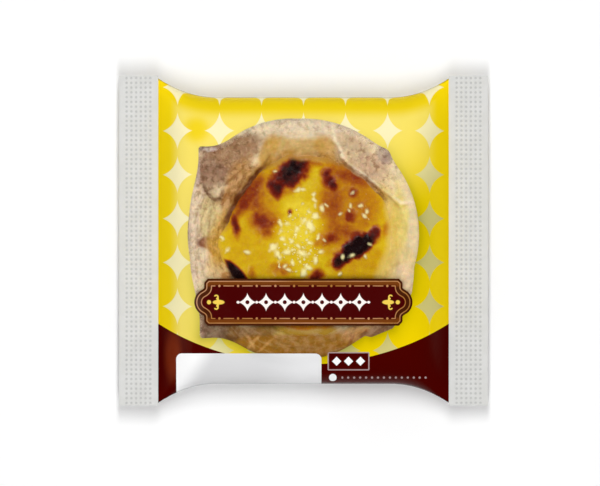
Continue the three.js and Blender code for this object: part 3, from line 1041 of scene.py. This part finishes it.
# Burnt spots on the custard: centre, half sizes along and across, turn in degrees, depth of burn
BURNS = (
    ((-4.6, 25.2), (9.6, 4.7), 41, 1.0),
    ((-9.8, 19.6), (4.0, 3.8), 35, 0.9),
    ((3.0, 28.6), (6.0, 1.4), -6, 0.58),
    ((9.6, 22.5), (4.8, 2.8), -68, 0.84),
    ((8.6, 24.4), (1.9, 1.9), 0, 0.86),
    ((10.9, 20.4), (1.9, 1.9), 0, 0.86),
    ((-14.9, 7.2), (4.8, 4.8), 20, 0.76),
    ((-13.6, 3.6), (3.0, 3.0), 20, 0.62),
    ((-25.0, 6.0), (1.5, 4.8), 8, 0.8),
    ((-22.6, 12.6), (6.5, 2.2), 58, 0.7),
    ((-17.4, 14.6), (5.2, 4.0), 50, 0.6),
    ((18.4, 17.4), (2.3, 3.0), 0, 0.72),
    ((17.6, 9.2), (2.5, 3.2), 0, 0.76),
    ((19.0, -2.6), (10.8, 3.6), 34, 1.1),
    ((26.0, 2.6), (3.4, 2.6), 45, 0.92),
    ((13.0, -7.6), (3.4, 3.0), 40, 0.98),
    ((10.2, 0.6), (4.8, 3.0), 20, 0.7),
    ((19.4, 2.2), (3.6, 2.0), 20, 0.68),
    ((-5.0, 10.5), (0.8, 0.9), 0, 0.8),
    ((4.6, -13.2), (3.4, 2.2), 30, 0.86),
    ((-9.0, -10.5), (4.6, 3.0), -20, 0.5),
    ((-19.0, -12.0), (1.6, 3.0), 20, 0.48),
    ((20.6, 22.2), (3.6, 1.8), -38, 0.66),
    ((14.4, 27.0), (3.4, 1.6), -50, 0.54),
    ((30.0, 4.0), (2.0, 3.4), -30, 0.5),
)
BURN_FALL = 0.6  # how fast a burn fades out; the deepest ones have a broader dark middle
BURN_PLATEAU = 4.0
BLISTER_HEIGHT = 0.4
BUBBLE_HEIGHT = 0.3
DOME_HEIGHT, DOME_REACH = 0.9, 16
PLAIN_BROWNING = 0.13  # how brown the custard is where no zone or burn lies
# Broad warm zones on the custard
WARM_ZONES = (
    ((17.5, 14), (12, 14), 0, 0.32),
    ((9.5, 13), (4.5, 8), 0, 0.14),
    ((-17.5, 15), (8, 12), 30, 0.24),
    ((-21.0, 16.5), (10, 3.6), 53, 0.3),
    ((14, 28), (12, 5), -30, 0.24),
    ((-8, 28), (9, 5), 20, 0.14),
    ((12, 0), (8, 6), 0, 0.22),
    ((-20, -5), (9, 11), 0, 0.1),
    ((22, -10), (12, 8), 0, 0.16),
    ((0, -33), (17, 4), 0, 0.34),
    ((-2, 6), (9, 9), 0, -0.1),
)
# Bubbly places on the custard: centre, half sizes, turn, and strength
FOAM_ZONES = (
    ((-1.5, 3.0), (11, 11), 0, 0.4),
    ((-3.5, -6.0), (10, 7), 0, 0.44),
    ((-30.0, -1.0), (3.4, 5), 0, 0.3),
    ((20.0, 13.0), (8, 9), 0, 0.2),
)
# Bubbles, whose glints are painted pale: centre and radius
BUBBLES = (
    (-0.2, 18.7, 0.6), (3.9, 17.1, 0.6), (3.8, 15, 0.6), (-0.3, 13.6, 0.4), (6.8, 11.9, 0.8),
    (4.3, 9.1, 0.9), (0, 7.4, 0.8), (2.2, 5.4, 1.3), (21.3, 12.8, 0.6), (23.3, 10.7, 0.6),
    (22.5, 9.1, 0.6), (-2.3, 18.5, 0.7), (4.3, 12.7, 0.5), (2.1, 10.5, 0.6), (-2.3, 4.1, 0.9),
    (-8.5, 6.1, 0.7), (-6.3, 6.1, 0.6), (-8.5, 3.5, 0.7), (8.3, 13, 0.5), (13.4, 9.7, 0.5),
    (17.5, 12.7, 0.5), (-7.6, 0.6, 0.7), (-11.3, -2.6, 1.1), (-9.7, -5, 1.1), (-6.4, -4.4, 0.9),
    (-8.8, -6.5, 0.8), (-0.6, -4.8, 1.1), (-6.7, -9.3, 0.6), (-3.9, -8.3, 0.6), (-5.4, -10.8, 0.6),
    (0.1, -12, 1), (7.9, -0.1, 0.5), (6.4, -4.1, 0.8), (4.3, -7.5, 0.8), (1.8, -9.9, 0.8),
    (13.4, -12.4, 0.5), (22.9, -6.1, 0.5), (-20.8, -4.4, 0.7), (-28.1, -3.5, 0.7), (-30, 0.8, 0.6),
    (17.9, -5.6, 0.7), (14.4, -6.1, 0.5), (24.6, -1.5, 0.5), (18.2, 17.8, 0.6), (16.8, 11, 0.4),
    (-10.5, 25.5, 0.4), (-4.3, -0.2, 0.6), (-2, -2, 0.6), (-5, 9.1, 0.5), (5.4, 1.7, 0.6),
    (2.4, -0.9, 0.6),
)
BUBBLE_TURN = 68  # degrees from one bubble's long side to the next one's
# The dark gap between the custard and the pastry, painted near black, which the plaque partly covers
GAP = (
    (-29.2, -6.9), (-27, -7.3), (-24.8, -8.9), (-22.4, -11.2), (-20.6, -13.8), (-19.5, -17.5),
    (-26.8, -17.5), (-27.3, -12.4), (-28.4, -9.9),
)
GAP_SOFTNESS = 2.0
RIM_BLEND = 1.2  # how far in the custard takes on the pastry's colour elsewhere


def stroke_reach(x, y, centre, half, turn):
    """Distance from a stroke's middle, where 1 is its edge."""
    a = math.radians(turn)
    dx, dy = x - centre[0], y - centre[1]
    along = (dx * math.cos(a) + dy * math.sin(a)) / half[0]
    across = (-dx * math.sin(a) + dy * math.cos(a)) / half[1]
    return np.hypot(along, across)


def stroke_share(x, y, stroke, end, fade, wobble=0):
    """1 inside a stroke, falling to 0 at its end; wobble moves its edge about."""
    return smoothstep((end - stroke_reach(x, y, *stroke) - wobble) / fade)


def custard_radius(angle):
    """Distance from the custard's middle to its edge in a direction, in radians."""
    turns = np.linspace(0, 2 * np.pi, len(CUSTARD_RADII) + 1)
    radii = np.append(CUSTARD_RADII, CUSTARD_RADII[0])
    fine = np.linspace(0, 2 * np.pi, 361)
    smooth = np.interp(fine, turns, radii)
    kernel = np.hanning(15) / np.hanning(15).sum()
    smooth = np.convolve(np.concatenate([smooth[-8:-1], smooth, smooth[1:8]]), kernel, "valid")
    wander = CUSTARD_UNEVEN * rough(30 * np.cos(angle), 30 * np.sin(angle), 4.5, 101)
    return np.interp(np.mod(angle, 2 * np.pi), fine, smooth) + wander


def custard_distance(x, y):
    """Distance outside the custard's edge, less than zero on the custard."""
    dx, dy = x - CUSTARD_CENTRE[0], y - CUSTARD_CENTRE[1]
    return np.hypot(dx, dy) - custard_radius(np.arctan2(dy, dx))


def crust_depth(x, y):
    """How far the pastry lies under the film, from the custard's edge out to its own."""
    flap, steep = np.zeros(np.shape(x)), np.zeros(np.shape(x))
    for number, (soft, corners) in enumerate(FLAPS):
        distance = polygon_distance(x, y, corners)
        flap = np.maximum(flap, smoothstep(0.5 - distance / soft))
        if number < STEEP_FLAPS:
            steep = np.maximum(steep, smoothstep(0.5 - distance / 3))
    width = WALL_WIDTH * (1 - STEEPNESS * steep)
    wall = smoothstep((custard_distance(x, y) + 0.4) / width) ** 0.8
    inward = smoothstep(-tart_distance(x, y) / 3.5)
    dips = DIP_DEPTH * (1 + rough(x, y, 5.0, 11)) + PIT_DEPTH * rough(x, y, 1.8, 21)
    ridges = np.sin(2 * np.pi * (x + 0.8 * rough(x, y, 6, 31)) / RIDGE_PITCH)
    ridged = smoothstep((RIDGE_LEFT[0] - x) / RIDGE_LEFT[1]) * smoothstep((RIDGE_LOW[0] - y) / RIDGE_LOW[1])
    low = FLAP_THICKNESS * (1 - flap) + np.maximum(dips, 0) + RIDGE_DEPTH * (1 + ridges) * ridged
    return WALL_DEPTH * (1 - wall) + low * inward * smoothstep(custard_distance(x, y) / 5)


def crust_top(x, y):
    """Height of the pastry over the table, from the custard's edge out to its own."""
    return film_front(x, y) - FILM_GAP - crust_depth(x, y)


def blend_tone(colour, tone, weight):
    return colour * (1 - weight[:, None]) + np.array(seen_inside(*tone)) * weight[:, None]


def spread_share(x, y, turn, spread):
    """1 in the directions from the custard's middle that lie within the spread, and 0 in the others."""
    side = np.degrees(np.arctan2(y - CUSTARD_CENTRE[1], x - CUSTARD_CENTRE[0]))
    off = np.abs((side - turn + 180) % 360 - 180)
    return smoothstep((spread - off) / SPREAD_FADE + 0.5)


def pastry_tone(x, y):
    colour = np.tile(seen_inside(*PASTRY_BASE), (len(x), 1))
    wobble = 0.25 * rough(x, y, 6.0, 41)
    for *stroke, tone, strength in PASTRY_STROKES:
        colour = blend_tone(colour, tone, strength * stroke_share(x, y, stroke, 1.3, 0.6, wobble))
    upper_right = polygon_distance(x, y, FLAPS[1][1])
    lit = smoothstep(1 - np.abs(upper_right + FOLD_HALF) / FOLD_HALF)
    colour = blend_tone(colour, FOLD_LIGHT, 0.8 * lit)
    out = custard_distance(x, y) + 0.5 * rough(x, y, 3.0, 111)
    for turn, spread, width, tone, strength, _ in RIM_TONES:
        near = smoothstep((width + 0.6 - out) / width) * spread_share(x, y, turn, spread)
        colour = blend_tone(colour, tone, strength * near)
    return blend_tone(colour, GAP_BROWN, 0.95 * gap_level(x, y))


def gap_level(x, y):
    return smoothstep(0.5 - polygon_distance(x, y, GAP) / GAP_SOFTNESS)


def pastry_texture(x, y):
    """How mottled and how streaky the pastry looks, each from 0 to 1."""
    mottled, streaked = np.ones(len(x)), np.zeros(len(x))
    for *stroke, strength in SMOOTH_ZONES:
        mottled = mottled * (1 - strength * stroke_share(x, y, stroke, 1.4, 0.7))
    for *stroke, strength in STREAKY_ZONES:
        streaked = np.maximum(streaked, strength * stroke_share(x, y, stroke, 1.3, 0.6))
    return triples(mottled, streaked, 0)


def outline_radius(angle):
    """Distance from the custard's middle to the pastry's own edge."""
    low, high = (np.full(angle.shape, float(end)) for end in OUTLINE_SEARCH)
    for _ in range(OUTLINE_HALVINGS):
        middle = (low + high) / 2
        x = CUSTARD_CENTRE[0] + middle * np.cos(angle)
        y = CUSTARD_CENTRE[1] + middle * np.sin(angle)
        outside = tart_distance(x, y) > RIM_UNDER
        low, high = np.where(outside, low, middle), np.where(outside, middle, high)
    return low


def make_crust():
    """The pastry shell: a floor and wall hidden under the custard, the rim that shows, and the outside."""
    angle = np.linspace(0, 2 * np.pi, CRUST_SPOKES, endpoint=False)
    inner, outer = custard_radius(angle), outline_radius(angle)
    rings = []

    def ring(radius, z):
        x = CUSTARD_CENTRE[0] + radius * np.cos(angle)
        y = CUSTARD_CENTRE[1] + radius * np.sin(angle)
        rings.append(triples(x, y, z(x, y) if callable(z) else z))

    for share in FLOOR_SHARES:
        ring(share * inner, FLOOR_LEVEL)
    for inset, level in WALL_RINGS:
        ring(inner - inset, level)
    for t in np.linspace(0, 1, RIM_RINGS):
        ring(inner - 0.6 + (outer - inner + 0.6) * t, crust_top)
    edge = rings[-1][:, 2]
    base = BASE_RADIUS + BASE_FOLLOW * (outer - MEAN_RADIUS)
    for t in np.linspace(0.08, 1, SIDE_RINGS):

        def side(x, y):
            uneven = 0.3 * rough(x + y, edge * t, 4, 51) * (1 - t)
            return edge + (BASE_LEVEL - edge) * t + uneven

        ring(outer + (base - outer) * t**0.8, side)
    ring(0.02 * inner, BASE_LEVEL)
    points = np.concatenate(rings)
    faces = grid_faces(len(rings), CRUST_SPOKES, closed=True)[:, ::-1]
    x, y = points[:, 0], points[:, 1]
    dx, dy = x - CUSTARD_CENTRE[0], y - CUSTARD_CENTRE[1]
    radius = np.maximum(np.hypot(dx, dy), TINY)
    attributes = {
        "place": points,
        "grain": triples(GRAIN_LENGTH * dx / radius, GRAIN_LENGTH * dy / radius, radius),
        "tone": pastry_tone(x, y),
        "texture": pastry_texture(x, y),
        "shade": plaque_shade(x, y, WINDOW_PLAQUE_SHADOW),
    }
    mesh = make_mesh("crust", points, faces, attributes)
    add_piece("pastry_shell", mesh, pastry_material())


def custard_top(x, y):
    out = custard_distance(x, y)
    dome = DOME_HEIGHT * smoothstep(-out / DOME_REACH)
    lumps = 0.6 * rough(x, y, 11, 61) + 0.3 * rough(x, y, 3.4, 71, 2)
    z = CUSTARD_LEVEL + dome + lumps * smoothstep(-out / 5)
    for *stroke, depth in BURNS:
        z = z + BLISTER_HEIGHT * depth * stroke_share(x, y, stroke, 1.1, 0.5)
    return z + BUBBLE_HEIGHT * bubble_level(x, y) - CUSTARD_DIP * smoothstep(out / CUSTARD_TUCK)


def burn_level(x, y):
    """How burnt the custard is: 0 for the palest yellow to 1 for black; the dark gap is black throughout.
    """
    level = np.full(x.shape, PLAIN_BROWNING)
    for *stroke, depth in WARM_ZONES:
        level = level + depth * stroke_share(x, y, stroke, 1.35, 0.8)
    wobble = 0.2 * rough(x, y, 2.8, 81)
    for *stroke, depth in BURNS:
        reach = np.maximum(stroke_reach(x, y, *stroke) + wobble, 0)
        power = 2 + BURN_PLATEAU * max(depth - 0.7, 0)
        level = np.maximum(level, depth * np.exp(-BURN_FALL * reach**power))
    return np.maximum(level, gap_level(x, y))


def bubble_level(x, y):
    level = np.zeros(x.shape)
    wobble = 0.4 * rough(x, y, 1.1, 121, 2)
    for number, (*centre, radius) in enumerate(BUBBLES):
        stroke = centre, (1.6 * radius, 1.05 * radius), BUBBLE_TURN * number
        level = np.maximum(level, stroke_share(x, y, stroke, 1.5, 1.2, wobble))
    return level


def foam_level(x, y):
    return sum(strength * stroke_share(x, y, stroke, 1.2, 0.6) for *stroke, strength in FOAM_ZONES)


def make_custard():
    reach = max(CUSTARD_RADII) + CUSTARD_TUCK + 1
    side = np.arange(-reach, reach + CUSTARD_STEP, CUSTARD_STEP)
    x, y = np.meshgrid(side + CUSTARD_CENTRE[0], side + CUSTARD_CENTRE[1], indexing="ij")
    points = triples(x, y, custard_top(x, y))
    out = custard_distance(x, y)
    blend = np.full(x.shape, RIM_BLEND)
    for turn, spread, _, _, _, reach_in in RIM_TONES:
        blend += (reach_in - blend) * spread_share(x, y, turn, spread)
    rim = 0.85 * smoothstep((out + blend) / blend)
    attributes = {
        "place": points,
        "surface": triples(burn_level(x, y), foam_level(x, y), bubble_level(x, y)),
        "edges": triples(rim, plaque_shade(x, y, WINDOW_PLAQUE_SHADOW), 0),
        "tone": pastry_tone(x.ravel(), y.ravel()),
        "edge": out - CUSTARD_TUCK,
    }
    whole = make_mesh("custard", points, grid_faces(*x.shape)[:, ::-1], attributes)
    add_piece("custard", cut_mesh(whole, "edge", -1), custard_material())
    bpy.data.meshes.remove(whole)


# The studio

CAMERA_HEIGHT = 3.2
PICTURE_WIDTH = 0.222  # what the photograph's width spans at the end seals
SENSOR = 36
FLOOR_WHITE = (0.97, 0.97, 0.97)
CAMERA_SHIFT = (-0.0013, -0.0009)


def add_light(name, place, width, height, radiance):
    """A soft rectangular light that faces the pack."""
    light = bpy.data.lights.new(name, "AREA")
    light.shape = "RECTANGLE"
    light.size, light.size_y = width, height
    light.energy = radiance * math.pi * width * height
    holder = bpy.data.objects.new(name, light)
    bpy.context.scene.collection.objects.link(holder)
    holder.location = place
    holder.rotation_euler = (-Vector(place)).to_track_quat("-Z", "Y").to_euler()
    return holder


PANEL_DISTANCE = 1.2
PANEL_TILT = math.radians(63)  # how far a panel stands down from straight overhead
PANEL_HEIGHT, PANEL_WIDTH = 1.1, 1.7
PANEL_RADIANCE = 2.4
WORLD_RADIANCE = 0.27
# The two soft boxes that light the pack from above and below the picture: name, place and radiance
SOFT_BOXES = (
    ("upper_box", (0.0, 0.38, 1.2), 19.6),
    ("lower_box", (0.0, -0.38, 1.2), 16.1),
)
SOFT_BOX_WIDTH, SOFT_BOX_HEIGHT = 0.2, 0.6


def make_studio():
    scene = bpy.context.scene
    scene.view_settings.view_transform = "Standard"
    world = bpy.data.worlds.new("studio")
    world.use_nodes = True
    background = world.node_tree.nodes["Background"]
    background.inputs["Color"].default_value = (1, 1, 1, 1)
    background.inputs["Strength"].default_value = WORLD_RADIANCE
    world.cycles_visibility.glossy = False
    scene.world = world
    out, up = PANEL_DISTANCE * math.sin(PANEL_TILT), PANEL_DISTANCE * math.cos(PANEL_TILT)
    for name, place in (("left_panel", (-out, 0, up)), ("top_panel", (0, out, up))):
        panel = add_light(name, place, PANEL_WIDTH, PANEL_HEIGHT, PANEL_RADIANCE)
        panel.visible_diffuse = False
    for name, place, radiance in SOFT_BOXES:
        box = add_light(name, place, SOFT_BOX_WIDTH, SOFT_BOX_HEIGHT, radiance)
        box.visible_glossy = False

    floor = bpy.data.meshes.new("floor")
    floor.from_pydata([(-3, -3, 0), (3, -3, 0), (3, 3, 0), (-3, 3, 0)], [], [(0, 1, 2, 3)])
    plain = Shader("floor").surface(Base_Color=FLOOR_WHITE, Roughness=0.9, Specular_IOR_Level=0.0)
    floor.materials.append(plain)
    ground = bpy.data.objects.new("floor", floor)
    scene.collection.objects.link(ground)

    camera = bpy.data.objects.new("camera", bpy.data.cameras.new("camera"))
    scene.collection.objects.link(camera)
    camera.location = (*CAMERA_SHIFT, CAMERA_HEIGHT)
    camera.data.sensor_width = SENSOR
    camera.data.lens = SENSOR * (CAMERA_HEIGHT - SEAL_LEVEL * MM) / PICTURE_WIDTH
    camera.data.clip_start, camera.data.clip_end = 0.1, 10
    scene.camera = camera


make_film()
seal = seal_material()
make_seal(-1, "seal_left", seal)
make_seal(1, "seal_right", seal)
make_fin(bpy.data.materials["printed_film"])
make_plaque()
make_crust()
make_custard()
make_studio()
